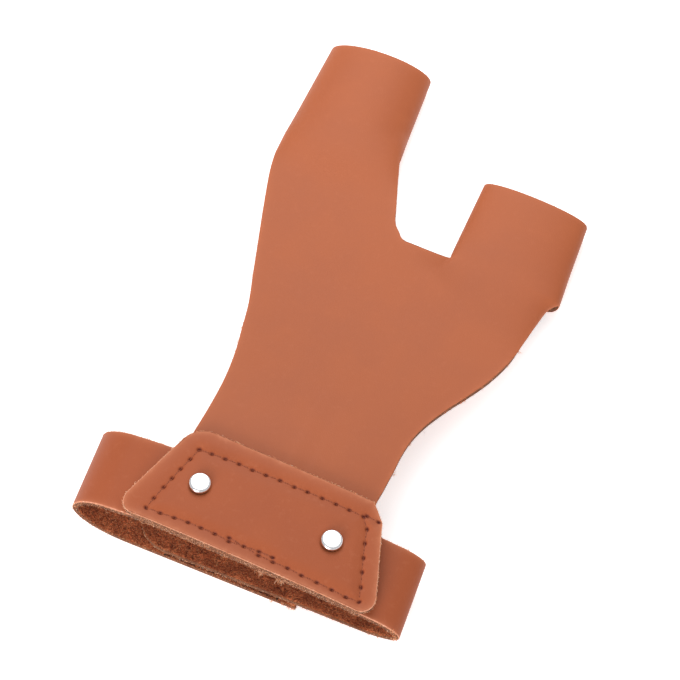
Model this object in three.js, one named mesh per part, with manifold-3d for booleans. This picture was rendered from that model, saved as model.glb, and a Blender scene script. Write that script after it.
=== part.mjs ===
// Archery glove: one leather panel with an index tube and a thumb tube,
// a stitched and riveted patch at the wrist, and a two-part wrist strap.
// Millimetres. X runs across the wrist, Y from wrist to fingertips, Z up.
// While the pieces are made, X 0 and Y 0 are the middle of the wrist loop and Z 0 is the table.
import * as THREE from "three";
import { mergeVertices } from "three/addons/utils/BufferGeometryUtils.js";
import Module from "manifold-3d";

const wasm = await Module();
wasm.setup();

// Material and clearances
const LEATHER = 1.8;
const PLAY = 0.3;

// Wrist loop
const LOOP_LENGTH = 97;
const LOOP_HEIGHT = 19.6;
const STRAP_WIDTH = 23;
const STRAP_END_RADIUS = 6;
const STRAP_SKEW = 0.08;
const FASTENER_LAP = 42;
const LAP_MIDDLE = -3;
const INNER_STRAP_TAIL = 7.2;
const INNER_STRAP_RADIUS = 10;

// Hook-and-loop pad between the two strap ends
const PAD_THICKNESS = 1;
const PAD_END_MARGIN = 4.5;
const PAD_SIDE_MARGIN = 3;
const PAD_RADIUS = 2;

// Panel: how far it reaches from the middle of the wrist loop
const PANEL_LEFT = 45.3;
const PANEL_RIGHT = 50.7;
const WEB_FOOT = 102.8;
const WEB_WIDTH = 13.3;
const WEB_HEIGHT = 10.2;
const NECK_TUCK = 12.3;
const NECK_RISE_END = 85;

// Index tube. The two folds start higher at its foot and come down along it,
// and below its foot each side of the panel bends towards them.
const INDEX_STRIP = 21.2;
const INDEX_FOOT_WIDTH = 35.2;
const INDEX_FOOT_SLANT = 6;
const INDEX_LENGTH = 35.8;
const INDEX_TIP_WIDTH = 32;
const INDEX_TIP_SLANT = 1;
const INDEX_HEIGHT = 12.45;
const INDEX_FOLD = 5.5;
const INDEX_LEFT_LIFT = 2;
const INDEX_RIGHT_LIFT = 3;
const INDEX_LIFT_FADE = 12;
const INDEX_LEFT_BEND = 16;
const INDEX_RIGHT_BEND = 14;

// Thumb tube, in the same way
const THUMB_FOOT_WIDTH = 34.6;
const THUMB_FOOT_SLANT = -1.2;
const THUMB_LENGTH = 28.9;
const THUMB_TIP_LEFT = 15.2;
const THUMB_TIP_WIDTH = 33.1;
const THUMB_TIP_SLANT = -1.6;
const THUMB_HEIGHT = 10.05;
const THUMB_FOLD = 5.2;
const THUMB_LEFT_LIFT = 3;
const THUMB_RIGHT_LIFT = 1.5;
const THUMB_LIFT_FADE = 14;
const THUMB_LEFT_BEND = 9;
const THUMB_RIGHT_BEND = 28;

// Seam where the two wings of a tube meet underneath
const SEAM_GAP = 0.6;

// Wrist patch, a trapezoid with its long side towards the arm
const PATCH_MIDDLE = 4.4;
const PATCH_TOP_WIDTH = 55.2;
const PATCH_BOTTOM_WIDTH = 76.4;
const PATCH_HEIGHT = 30.8;
const PATCH_OVERHANG = 12.6;
const PATCH_LOWER_RADIUS = 6;
const PATCH_UPPER_RADIUS = 5;
const PATCH_CLIP = 4.6;

// Rivets
const RIVET_SPACING = 38.6;
const RIVET_Y = 2.4;
const RIVET_CAP_RADIUS = 3;
const RIVET_CAP_HEIGHT = 1.3;
const RIVET_EDGE = 0.6;
const RIVET_SHANK_RADIUS = 1.5;
const RIVET_BACK_RADIUS = 2.8;
const RIVET_BACK_HEIGHT = 0.6;
const LEFT_STRAP_TAIL = 14.8;
const RIGHT_STRAP_TAIL = 8;

// Places worked out from those sizes
const LOOP_HALF = LOOP_LENGTH / 2;
const FLOOR_MID = LEATHER / 2;
const STRAP_HALF = STRAP_WIDTH / 2;
const INDEX_FOOT = WEB_FOOT + INDEX_STRIP;
const LEFT_RIVET_X = PATCH_MIDDLE - RIVET_SPACING / 2;
const RIGHT_RIVET_X = PATCH_MIDDLE + RIVET_SPACING / 2;
const INNER_STRAP_MID = LEATHER + PLAY + PAD_THICKNESS + PLAY + LEATHER / 2;

// Outer face of the loop over the wrist.
// across: share of half the loop length, up: share of the loop height
const CROWN = [
  { across: -0.8, up: 0.905 },
  { across: -0.64, up: 0.985 },
  { across: -0.5, up: 1.0 },
  { across: -0.25, up: 0.975 },
  { across: 0, up: 0.93 },
  { across: 0.25, up: 0.88 },
  { across: 0.5, up: 0.82 },
  { across: 0.7, up: 0.755 },
  { across: 0.9, up: 0.665 },
];

// Free edges of the panel.
// along: share of the length to that side's tube, reach: share of that side's reach
const LEFT_EDGE = [
  { along: -0.088, reach: 0.61 },
  { along: 0, reach: 0.575 },
  { along: 0.082, reach: 0.538 },
  { along: 0.16, reach: 0.524 },
  { along: 0.227, reach: 0.52 },
  { along: 0.299, reach: 0.528 },
  { along: 0.376, reach: 0.557 },
  { along: 0.453, reach: 0.605 },
  { along: 0.52, reach: 0.648 },
  { along: 0.613, reach: 0.73 },
  { along: 0.701, reach: 0.804 },
  { along: 0.794, reach: 0.881 },
  { along: 0.876, reach: 0.945 },
  { along: 0.938, reach: 0.984 },
  { along: 0.989, reach: 0.999 },
  { along: 1, reach: 1 },
];
const RIGHT_EDGE = [
  { along: -0.105, reach: 0.745 },
  { along: 0, reach: 0.7 },
  { along: 0.097, reach: 0.643 },
  { along: 0.178, reach: 0.584 },
  { along: 0.231, reach: 0.585 },
  { along: 0.292, reach: 0.588 },
  { along: 0.352, reach: 0.588 },
  { along: 0.407, reach: 0.598 },
  { along: 0.468, reach: 0.631 },
  { along: 0.543, reach: 0.697 },
  { along: 0.604, reach: 0.763 },
  { along: 0.679, reach: 0.838 },
  { along: 0.764, reach: 0.895 },
  { along: 0.845, reach: 0.919 },
  { along: 0.885, reach: 0.928 },
  { along: 0.945, reach: 0.945 },
  { along: 0.97, reach: 0.957 },
  { along: 0.99, reach: 0.98 },
  { along: 1, reach: 1 },
];

// Cut edge between the web and the index tube.
// along: share of the index strip, spread: share of the way from the web to the tube
const GAP_EDGE = [
  { along: 0, spread: 0 },
  { along: 0.02, spread: 0.11 },
  { along: 0.075, spread: 0.215 },
  { along: 0.13, spread: 0.335 },
  { along: 0.2, spread: 0.42 },
  { along: 0.27, spread: 0.475 },
  { along: 0.41, spread: 0.578 },
  { along: 0.64, spread: 0.745 },
  { along: 0.84, spread: 0.886 },
  { along: 1, spread: 1 },
];

const lerp = THREE.MathUtils.lerp;
const smooth = (value) => THREE.MathUtils.smoothstep(value, 0, 1);

// Smooth curve through the rows of a table, read at one value of its key column
function readTable(table, key, value, at) {
  const last = table.length - 1;
  const row = Math.min(Math.max(table.findIndex((entry) => entry[key] > at) - 1, 0), last - 1);
  const start = at >= table[last][key] ? last - 1 : row;
  const slope = (index) => {
    const before = table[Math.max(index - 1, 0)];
    const after = table[Math.min(index + 1, last)];
    return (after[value] - before[value]) / (after[key] - before[key]);
  };
  const [a, b] = [table[start], table[start + 1]];
  const span = b[key] - a[key];
  const t = THREE.MathUtils.clamp((at - a[key]) / span, 0, 1);
  const rise = t * t * (3 - 2 * t);
  const startPull = t * (1 - t) * (1 - t) * span * slope(start);
  const endPull = t * t * (t - 1) * span * slope(start + 1);
  return lerp(a[value], b[value], rise) + startPull + endPull;
}

const crownMid = (x) => LOOP_HEIGHT * readTable(CROWN, "across", "up", x / LOOP_HALF) - LEATHER / 2;
const leftEdge = (y) => -PANEL_LEFT * readTable(LEFT_EDGE, "along", "reach", y / INDEX_FOOT);
const rightEdge = (y) => PANEL_RIGHT * readTable(RIGHT_EDGE, "along", "reach", y / WEB_FOOT);

// Middle of the panel's thickness where no tube bends it: it leaves the neck and settles to the web
function panelMid(x, y) {
  const neck = crownMid(x) + LEATHER + PLAY;
  const fall = smooth((y - STRAP_HALF) / (NECK_RISE_END - STRAP_HALF));
  return lerp(neck, WEB_HEIGHT, fall);
}

const patchMid = (x, y) => panelMid(x, y) + LEATHER + PLAY;

// A sheet of leather: blocks of middle-surface points that share their common borders,
// given thickness on both sides and closed round every free edge
function sheetGeometry(blocks, thickness) {
  const middle = [];
  const indexOf = new Map();
  const quads = [];
  const vertex = (point) => {
    const name = point.toArray().map((value) => Math.round(value * 1000)).join(" ");
    if (!indexOf.has(name)) {
      indexOf.set(name, middle.length);
      middle.push(point);
    }
    return indexOf.get(name);
  };
  for (const block of blocks) {
    const grid = block.map((row) => row.map(vertex));
    for (let i = 0; i + 1 < grid.length; i += 1) {
      for (let j = 0; j + 1 < grid[i].length; j += 1) {
        quads.push([grid[i][j], grid[i][j + 1], grid[i + 1][j + 1], grid[i + 1][j]]);
      }
    }
  }
  const normals = middle.map(() => new THREE.Vector3());
  for (const [a, b, c, d] of quads) {
    const across = new THREE.Vector3().subVectors(middle[c], middle[a]);
    const other = new THREE.Vector3().subVectors(middle[d], middle[b]);
    const normal = across.cross(other);
    [a, b, c, d].forEach((corner) => normals[corner].add(normal));
  }
  const positions = [];
  for (const side of [0.5, -0.5]) {
    middle.forEach((point, index) => {
      const shift = normals[index].clone().normalize().multiplyScalar(side * thickness);
      positions.push(...point.clone().add(shift).toArray());
    });
  }
  const below = middle.length;
  const edges = new Set();
  quads.forEach((quad) => quad.forEach((from, k) => edges.add(`${from} ${quad[(k + 1) % 4]}`)));
  const triangles = [];
  for (const quad of quads) {
    const [a, b, c, d] = quad;
    triangles.push(a, b, c, a, c, d);
    triangles.push(below + a, below + c, below + b, below + a, below + d, below + c);
    quad.forEach((from, k) => {
      const to = quad[(k + 1) % 4];
      if (!edges.has(`${to} ${from}`)) {
        triangles.push(to, from, below + from, to, below + from, below + to);
      }
    });
  }
  const geometry = new THREE.BufferGeometry();
  geometry.setAttribute("position", new THREE.Float32BufferAttribute(positions, 3));
  geometry.setIndex(triangles);
  return geometry;
}

// Joins and cuts
function toSolid(source) {
  const bare = source.clone();
  bare.deleteAttribute("normal");
  bare.deleteAttribute("uv");
  const merged = mergeVertices(bare, 1e-4);
  return new wasm.Manifold(new wasm.Mesh({
    numProp: 3,
    vertProperties: new Float32Array(merged.attributes.position.array),
    triVerts: new Uint32Array(merged.index.array),
  }));
}

function toGeometry(solid) {
  const mesh = solid.getMesh();
  const geometry = new THREE.BufferGeometry();
  geometry.setAttribute("position", new THREE.BufferAttribute(mesh.vertProperties, 3));
  geometry.setIndex(new THREE.BufferAttribute(mesh.triVerts, 1));
  return geometry;
}

// Columns across a tube's dome, and across each wing's flat run and its rounded side
const DOME_STEPS = 14;
const WING_STEPS = 3;

// How far a fold leans towards the thumb side for each millimetre that it is lifted
const FOLD_LEAN = 0.2;

// The two tubes. fullness shapes the dome: 1 is an ellipse, less is fuller.
const INDEX_TUBE = {
  height: INDEX_HEIGHT,
  fold: INDEX_FOLD,
  fullness: 1.08,
  lifts: [INDEX_LEFT_LIFT, INDEX_RIGHT_LIFT],
  fade: INDEX_LIFT_FADE,
  bends: [INDEX_LEFT_BEND, INDEX_RIGHT_BEND],
};
const THUMB_TUBE = {
  height: THUMB_HEIGHT,
  fold: THUMB_FOLD,
  fullness: 0.84,
  lifts: [THUMB_LEFT_LIFT, THUMB_RIGHT_LIFT],
  fade: THUMB_LIFT_FADE,
  bends: [THUMB_LEFT_BEND, THUMB_RIGHT_BEND],
};

// Dome of a tube section, from the left fold over the top to the right fold.
// left and right are the folds' outer faces.
function domePoints(tube, left, right, lifts) {
  const middle = (left + right) / 2;
  const half = (right - left - LEATHER) / 2;
  const crown = tube.height - LEATHER / 2;
  const points = [];
  for (let k = 0; k <= DOME_STEPS; k += 1) {
    const angle = (k / DOME_STEPS) * Math.PI;
    const fold = tube.fold + (2 * k < DOME_STEPS ? lifts[0] : lifts[1]);
    const rise = Math.max(Math.sin(angle), 0) ** tube.fullness;
    points.push({ x: middle - half * Math.cos(angle), z: lerp(fold, crown, rise) });
  }
  return points;
}

// Lower wing of a tube section, from the seam along the table and up to the left or right fold
function wingPoints(tube, left, right, lift, hand) {
  const middle = (left + right) / 2;
  const half = (right - left - LEATHER) / 2;
  const radius = tube.fold - FLOOR_MID;
  const points = [];
  for (let k = 0; k < WING_STEPS; k += 1) {
    const x = lerp(SEAM_GAP / 2, half - radius, k / WING_STEPS);
    points.push({ x: middle + hand * x, z: FLOOR_MID });
  }
  for (let k = 0; k <= WING_STEPS; k += 1) {
    const angle = (k / WING_STEPS) * (Math.PI / 2);
    const x = half - radius + radius * Math.sin(angle);
    const z = FLOOR_MID + (radius + lift) * (1 - Math.cos(angle));
    points.push({ x: middle + hand * x, z });
  }
  return points;
}

// One row across the panel, fromFoot before a tube: flat leather that bends into the tube's dome.
// yAt is read at shares of the way across.
function bentRow(tube, left, right, fromFoot, yAt) {
  const dome = domePoints(tube, left, right, tube.lifts);
  const lengths = [0];
  for (let k = 1; k < dome.length; k += 1) {
    const step = Math.hypot(dome[k].x - dome[k - 1].x, dome[k].z - dome[k - 1].z);
    lengths.push(lengths[k - 1] + step);
  }
  return dome.map((point, k) => {
    const share = lengths[k] / lengths[dome.length - 1];
    const y = yAt(share);
    const flatX = lerp(left, right, share);
    const flatZ = panelMid(flatX, y);
    const bend = smooth(1 - fromFoot / lerp(tube.bends[0], tube.bends[1], share));
    return new THREE.Vector3(lerp(flatX, point.x, bend), y, lerp(flatZ, point.z, bend));
  });
}

const WEB_STEPS = 5;
const PALM_STEPS = 14;
const FOOT_STEPS = 9;
const STRIP_STEPS = 10;
const TUBE_STEPS = 7;
const FOOT_ZONE = 14;

// Rows of the palm: even up to the foot zone, then closing up towards the web
function palmRows() {
  const rows = [];
  for (let k = 0; k < PALM_STEPS; k += 1) {
    rows.push(lerp(-NECK_TUCK, WEB_FOOT - FOOT_ZONE, k / PALM_STEPS));
  }
  for (let k = 0; k <= FOOT_STEPS; k += 1) {
    rows.push(WEB_FOOT - FOOT_ZONE * (1 - k / FOOT_STEPS) ** 1.5);
  }
  return rows;
}

// One row of the palm from its left edge to its right edge
function palmRow(y) {
  const left = leftEdge(y);
  const right = rightEdge(y);
  const width = right - left;
  const fullWidth = rightEdge(WEB_FOOT) - leftEdge(WEB_FOOT);
  const thumbLeft = right - (THUMB_FOOT_WIDTH / fullWidth) * width;
  const webLeft = thumbLeft - (WEB_WIDTH / fullWidth) * width;
  const lift = -THUMB_FOOT_SLANT * smooth((y - WEB_FOOT + FOOT_ZONE) / FOOT_ZONE);
  const index = bentRow(INDEX_TUBE, left, webLeft, INDEX_FOOT - y, () => y);
  const thumb = bentRow(THUMB_TUBE, thumbLeft, right, WEB_FOOT - y, (share) => y + lift * (1 - share));
  const from = index[index.length - 1];
  const to = thumb[0];
  const web = [];
  for (let k = 1; k < WEB_STEPS; k += 1) {
    const share = k / WEB_STEPS;
    const x = lerp(from.x, to.x, share);
    const flat = panelMid(x, y);
    const fromDip = (from.z - flat) * (1 - share) ** 2;
    const toDip = (to.z - flat) * share ** 2;
    web.push(new THREE.Vector3(x, y + lift * share ** 3, flat + fromDip + toDip));
  }
  return [...index, ...web, ...thumb];
}

// Rows between the web and the foot of the index tube
function indexStrip() {
  const webLeft = PANEL_RIGHT - THUMB_FOOT_WIDTH - WEB_WIDTH;
  const tubeRight = -PANEL_LEFT + INDEX_FOOT_WIDTH;
  const rows = [];
  for (let k = 0; k <= STRIP_STEPS; k += 1) {
    const along = (k / STRIP_STEPS) ** 1.5;
    const y = lerp(WEB_FOOT, INDEX_FOOT, along);
    const right = lerp(webLeft, tubeRight, readTable(GAP_EDGE, "along", "spread", along));
    const slant = INDEX_FOOT_SLANT * along;
    rows.push(bentRow(INDEX_TUBE, leftEdge(y), right, INDEX_FOOT - y, (share) => y + slant * share));
  }
  return rows;
}

// A tube from foot to tip: the left wing, the dome and the right wing of each section
function tubeRows(tube, foot, tip, length) {
  const base = {
    left: foot.left - FOLD_LEAN * tube.lifts[0],
    right: foot.right - FOLD_LEAN * tube.lifts[1],
  };
  const rows = [];
  for (let k = 0; k <= TUBE_STEPS; k += 1) {
    const along = k / TUBE_STEPS;
    const fall = 1 - smooth((along * length) / tube.fade);
    const lifts = tube.lifts.map((lift) => lift * fall);
    const left = lerp(base.left, tip.left, along) + FOLD_LEAN * lifts[0];
    const right = lerp(base.right, tip.right, along) + FOLD_LEAN * lifts[1];
    const y = lerp(foot.y, tip.y, along);
    const slant = lerp(foot.slant, tip.slant, along);
    const toRow = (point) => {
      const share = (point.x - left - LEATHER / 2) / (right - left - LEATHER);
      return new THREE.Vector3(point.x, y + slant * share, point.z);
    };
    const dome = k === 0
      ? bentRow(tube, left, right, 0, (share) => y + slant * share)
      : domePoints(tube, left, right, lifts).map(toRow);
    const leftWing = wingPoints(tube, left, right, lifts[0], -1).slice(0, -1).map(toRow);
    const rightWing = wingPoints(tube, left, right, lifts[1], 1).reverse().slice(1).map(toRow);
    rows.push([...leftWing, ...dome, ...rightWing]);
  }
  return rows;
}

function gloveBody() {
  const indexFoot = {
    left: -PANEL_LEFT,
    right: -PANEL_LEFT + INDEX_FOOT_WIDTH,
    y: INDEX_FOOT,
    slant: INDEX_FOOT_SLANT,
  };
  const indexTip = {
    left: -PANEL_LEFT,
    right: -PANEL_LEFT + INDEX_TIP_WIDTH,
    y: INDEX_FOOT + INDEX_LENGTH,
    slant: INDEX_TIP_SLANT,
  };
  const thumbFoot = {
    left: PANEL_RIGHT - THUMB_FOOT_WIDTH,
    right: PANEL_RIGHT,
    y: WEB_FOOT - THUMB_FOOT_SLANT,
    slant: THUMB_FOOT_SLANT,
  };
  const thumbTip = {
    left: THUMB_TIP_LEFT,
    right: THUMB_TIP_LEFT + THUMB_TIP_WIDTH,
    y: thumbFoot.y + THUMB_LENGTH,
    slant: THUMB_TIP_SLANT,
  };
  const indexTube = tubeRows(INDEX_TUBE, indexFoot, indexTip, INDEX_LENGTH);
  const thumbTube = tubeRows(THUMB_TUBE, thumbFoot, thumbTip, THUMB_LENGTH);
  return sheetGeometry([palmRows().map(palmRow), indexStrip(), indexTube, thumbTube], LEATHER);
}

// Wrist patch: rows from its lower edge to its upper edge, with rounded corners and one clipped corner
const PATCH_ROWS = [0, 0.01, 0.04, 0.09, 0.15, 0.2, 0.35, 0.5, 0.65, 0.8, 0.855, 0.92, 0.96, 0.985, 1];
const PATCH_STEPS = 20;

const cornerInset = (distance, radius) => {
  const inside = THREE.MathUtils.clamp(radius - distance, 0, radius);
  return radius - Math.sqrt(radius * radius - inside * inside);
};

function patchRow(share) {
  const y = lerp(-PATCH_OVERHANG, PATCH_HEIGHT - PATCH_OVERHANG, share);
  const half = lerp(PATCH_BOTTOM_WIDTH, PATCH_TOP_WIDTH, share) / 2;
  const fromBottom = share * PATCH_HEIGHT;
  const fromTop = (1 - share) * PATCH_HEIGHT;
  const lower = cornerInset(fromBottom, PATCH_LOWER_RADIUS);
  const upper = cornerInset(fromTop, PATCH_UPPER_RADIUS);
  const clip = Math.max(0, PATCH_CLIP - fromTop) * 0.6;
  const left = PATCH_MIDDLE - half + lower + upper;
  const right = PATCH_MIDDLE + half - lower - clip;
  const row = [];
  for (let k = 0; k <= PATCH_STEPS; k += 1) {
    const x = lerp(left, right, k / PATCH_STEPS);
    row.push(new THREE.Vector3(x, y, patchMid(x, y)));
  }
  return row;
}

// Middle line of a strap half, from its end under the patch, round the fold and along the table.
// hand is -1 for the left fold and 1 for the right fold.
function strapPath(hand, start, foldStart, floorMid, foldEnd, end) {
  const tip = hand * (LOOP_HALF - LEATHER / 2);
  const top = new THREE.Vector2(foldStart, crownMid(foldStart));
  const nudge = 0.5;
  const slope = (crownMid(foldStart) - crownMid(foldStart - hand * nudge)) / nudge;
  const depth = Math.abs(tip - foldStart);
  const middle = new THREE.Vector2(tip, lerp(floorMid, top.y, 0.5));
  const lift = (top.y - floorMid) / 2;
  const upper = new THREE.CubicBezierCurve(
    top,
    new THREE.Vector2(foldStart + hand * depth * 0.5, top.y + slope * depth * 0.5),
    new THREE.Vector2(tip, middle.y + lift * 0.5),
    middle,
  );
  const bottom = new THREE.Vector2(foldEnd, floorMid);
  const lower = new THREE.CubicBezierCurve(
    middle,
    new THREE.Vector2(tip, middle.y - lift * 0.55),
    new THREE.Vector2(lerp(tip, foldEnd, 0.45), floorMid),
    bottom,
  );
  const points = [];
  const crownSteps = 40;
  for (let k = 0; k < crownSteps; k += 1) {
    const x = lerp(start, foldStart, k / crownSteps);
    points.push(new THREE.Vector2(x, crownMid(x)));
  }
  points.push(...upper.getPoints(24).slice(0, -1), ...lower.getPoints(24).slice(0, -1));
  points.push(bottom, new THREE.Vector2(end, floorMid));
  return points;
}

// Points spaced along a line of short pieces, closer together near its two ends
function respace(points, steps, endZone, endSteps) {
  const reach = [0];
  points.slice(1).forEach((point, k) => reach.push(reach[k] + point.distanceTo(points[k])));
  const total = reach[reach.length - 1];
  const stations = [];
  for (let k = 0; k < endSteps; k += 1) {
    stations.push(endZone * (k / endSteps) ** 2);
  }
  for (let k = 0; k <= steps; k += 1) {
    stations.push(lerp(endZone, total - endZone, k / steps));
  }
  for (let k = endSteps - 1; k >= 0; k -= 1) {
    stations.push(total - endZone * (k / endSteps) ** 2);
  }
  return stations.map((station) => {
    const next = Math.max(1, reach.findIndex((value) => value >= station - 1e-6));
    const share = (station - reach[next - 1]) / (reach[next] - reach[next - 1]);
    const point = new THREE.Vector2().lerpVectors(points[next - 1], points[next], share);
    return { point, fromStart: station, fromEnd: total - station };
  });
}

function strapGeometry(hand, path, startRadius, endRadius) {
  const endZone = Math.max(STRAP_END_RADIUS, startRadius, endRadius);
  const stations = respace(path, 44, endZone, 6);
  const block = stations.map(({ point, fromStart, fromEnd }) => {
    const inset = cornerInset(fromStart, startRadius) + cornerInset(fromEnd, endRadius);
    const half = STRAP_HALF - inset;
    return [-1, -0.5, 0, 0.5, 1].map((side) => {
      const y = -hand * side * half;
      return new THREE.Vector3(point.x - STRAP_SKEW * y, y, point.y);
    });
  });
  return sheetGeometry([block], LEATHER);
}

const OUTER_FOLD_START = -0.773;
const OUTER_FOLD_END = -0.67;
const INNER_FOLD_START = 0.845;
const INNER_FOLD_END = 0.76;

function outerStrap() {
  const path = strapPath(
    -1,
    LEFT_RIVET_X + LEFT_STRAP_TAIL,
    OUTER_FOLD_START * LOOP_HALF,
    FLOOR_MID,
    OUTER_FOLD_END * LOOP_HALF,
    LAP_MIDDLE + FASTENER_LAP / 2,
  );
  return strapGeometry(-1, path, 0, 0);
}

function innerStrap() {
  const path = strapPath(
    1,
    RIGHT_RIVET_X - RIGHT_STRAP_TAIL,
    INNER_FOLD_START * LOOP_HALF,
    INNER_STRAP_MID,
    INNER_FOLD_END * LOOP_HALF,
    LAP_MIDDLE - FASTENER_LAP / 2 - INNER_STRAP_TAIL,
  );
  return strapGeometry(1, path, STRAP_END_RADIUS, INNER_STRAP_RADIUS);
}

function fastenerPad() {
  const halfLength = FASTENER_LAP / 2 - PAD_END_MARGIN;
  const halfWidth = STRAP_HALF - PAD_SIDE_MARGIN;
  const outline = new THREE.Shape();
  const quarter = Math.PI / 2;
  [[1, 1], [-1, 1], [-1, -1], [1, -1]].forEach(([end, side], turn) => {
    const x = end * (halfLength - PAD_RADIUS);
    const y = side * (halfWidth - PAD_RADIUS);
    outline.absarc(x, y, PAD_RADIUS, turn * quarter, (turn + 1) * quarter);
  });
  return new THREE.ExtrudeGeometry(outline, { depth: PAD_THICKNESS, bevelEnabled: false, curveSegments: 5 });
}

// Rivets: a round cap on the patch, a shank through patch, neck and strap, and a cap at the back.
// Their own Z 0 is the face of the patch.
const STACK = LEATHER + PLAY + LEATHER + PLAY + LEATHER;
const RIVET_SIDES = 24;

function rivetGeometry() {
  const back = -STACK - PLAY;
  const profile = [
    [0, back - RIVET_BACK_HEIGHT],
    [RIVET_BACK_RADIUS - RIVET_EDGE, back - RIVET_BACK_HEIGHT],
    [RIVET_BACK_RADIUS, back - RIVET_BACK_HEIGHT / 2],
    [RIVET_BACK_RADIUS, back],
    [RIVET_SHANK_RADIUS, back],
    [RIVET_SHANK_RADIUS, PLAY],
    [RIVET_CAP_RADIUS, PLAY],
    [RIVET_CAP_RADIUS, PLAY + RIVET_CAP_HEIGHT - RIVET_EDGE],
    [RIVET_CAP_RADIUS - RIVET_EDGE / 3, PLAY + RIVET_CAP_HEIGHT - RIVET_EDGE / 3],
    [RIVET_CAP_RADIUS - RIVET_EDGE, PLAY + RIVET_CAP_HEIGHT],
    [0, PLAY + RIVET_CAP_HEIGHT],
  ];
  const lathe = new THREE.LatheGeometry(profile.map(([r, h]) => new THREE.Vector2(r, h)), RIVET_SIDES);
  return toGeometry(toSolid(lathe.rotateX(Math.PI / 2)));
}

// Place and tilt of a rivet: square to the patch
function rivetFrame(x) {
  const nudge = 1;
  const slope = (patchMid(x + nudge, RIVET_Y) - patchMid(x - nudge, RIVET_Y)) / (2 * nudge);
  const place = new THREE.Object3D();
  place.position.set(x, RIVET_Y, patchMid(x, RIVET_Y) + LEATHER / 2);
  place.rotation.y = -Math.atan(slope);
  place.updateMatrix();
  return place;
}

function withRivetHoles(geometry, places) {
  const margin = 2;
  let solid = toSolid(geometry);
  for (const x of places) {
    const drill = new THREE.CylinderGeometry(
      RIVET_SHANK_RADIUS + PLAY,
      RIVET_SHANK_RADIUS + PLAY,
      STACK + 2 * margin,
      RIVET_SIDES,
    );
    drill.rotateX(Math.PI / 2).translate(0, 0, -STACK / 2);
    drill.applyMatrix4(rivetFrame(x).matrix);
    solid = solid.subtract(toSolid(drill));
  }
  return toGeometry(solid);
}

// Colours and finishes
const leather = (color) => new THREE.MeshStandardMaterial({ color, roughness: 0.55, metalness: 0 });
const panelLeather = leather(0xc4785a);
const patchLeather = leather(0xb06244);
const strapLeather = leather(0xb2664a);
const padFabric = new THREE.MeshStandardMaterial({ color: 0x171514, roughness: 0.95, metalness: 0 });
const chrome = new THREE.MeshStandardMaterial({ color: 0xdcdcde, roughness: 0.15, metalness: 1 });

function named(name, geometry, material) {
  const mesh = new THREE.Mesh(geometry, material);
  mesh.name = name;
  return mesh;
}

const glove = new THREE.Group();

glove.add(named("glove_body", withRivetHoles(gloveBody(), [LEFT_RIVET_X, RIGHT_RIVET_X]), panelLeather));

const patchSheet = sheetGeometry([PATCH_ROWS.map(patchRow)], LEATHER);
glove.add(named("wrist_patch", withRivetHoles(patchSheet, [LEFT_RIVET_X, RIGHT_RIVET_X]), patchLeather));

glove.add(named("strap_outer", withRivetHoles(outerStrap(), [LEFT_RIVET_X]), strapLeather));
glove.add(named("strap_inner", withRivetHoles(innerStrap(), [RIGHT_RIVET_X]), strapLeather));

const pad = named("fastener_pad", fastenerPad(), padFabric);
pad.position.set(LAP_MIDDLE, 0, LEATHER + PLAY);
glove.add(pad);

for (const [name, x] of [["rivet_left", LEFT_RIVET_X], ["rivet_right", RIGHT_RIVET_X]]) {
  const rivet = named(name, rivetGeometry(), chrome);
  const place = rivetFrame(x);
  rivet.position.copy(place.position);
  rivet.rotation.copy(place.rotation);
  glove.add(rivet);
}

// The part's own origin: on the table, under the middle of its box
glove.updateMatrixWorld(true);
const box = new THREE.Box3().setFromObject(glove, true);
const middle = box.getCenter(new THREE.Vector3());
glove.position.set(-middle.x, -middle.y, -box.min.z);

export default glove;
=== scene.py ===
import math

import bmesh
import bpy
import numpy as np
from mathutils import Matrix, Vector
from mathutils.kdtree import KDTree


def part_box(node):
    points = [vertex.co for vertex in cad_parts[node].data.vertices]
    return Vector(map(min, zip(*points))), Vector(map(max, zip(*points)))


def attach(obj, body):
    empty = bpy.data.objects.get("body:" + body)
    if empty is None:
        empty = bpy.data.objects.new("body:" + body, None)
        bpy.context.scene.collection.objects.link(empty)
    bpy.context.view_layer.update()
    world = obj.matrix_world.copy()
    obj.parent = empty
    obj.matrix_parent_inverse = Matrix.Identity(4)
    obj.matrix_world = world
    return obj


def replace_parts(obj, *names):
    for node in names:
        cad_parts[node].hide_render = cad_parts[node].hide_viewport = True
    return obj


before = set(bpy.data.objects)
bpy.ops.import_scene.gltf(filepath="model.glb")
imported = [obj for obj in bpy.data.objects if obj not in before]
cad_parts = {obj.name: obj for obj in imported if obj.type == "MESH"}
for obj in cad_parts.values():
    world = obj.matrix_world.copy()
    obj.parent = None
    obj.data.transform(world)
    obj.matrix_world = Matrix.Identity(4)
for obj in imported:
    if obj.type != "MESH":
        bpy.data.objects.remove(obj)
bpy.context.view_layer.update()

# The panel.
# One piece of satin tan leather, cut with a neck, a palm and two wings to each tube.
# It arches over the wrist loop, settles towards the fingertips, and each pair of wings folds under.
MM = 0.001
LEATHER = 1.8
PLAY = 0.3
LOOP_HALF = 48.5
LOOP_HEIGHT = 19.6
STRAP_HALF = 11.5
LAP_MIDDLE = -3
PANEL_LEFT = 45.3
PANEL_RIGHT = 50.7
WEB_FOOT = 102.8
WEB_WIDTH = 13.3
WEB_HEIGHT = 10.2
NECK_TUCK = 12.3
NECK_RISE_END = 85
INDEX_STRIP = 21.2
INDEX_FOOT = WEB_FOOT + INDEX_STRIP
INDEX_FOOT_WIDTH = 35.2
INDEX_FOOT_SLANT = 6
INDEX_LENGTH = 35.8
INDEX_TIP_WIDTH = 32
INDEX_TIP_SLANT = 1
THUMB_FOOT_WIDTH = 34.6
THUMB_FOOT_SLANT = -1.2
THUMB_LENGTH = 28.9
THUMB_TIP_LEFT = 15.2
THUMB_TIP_WIDTH = 33.1
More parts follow.
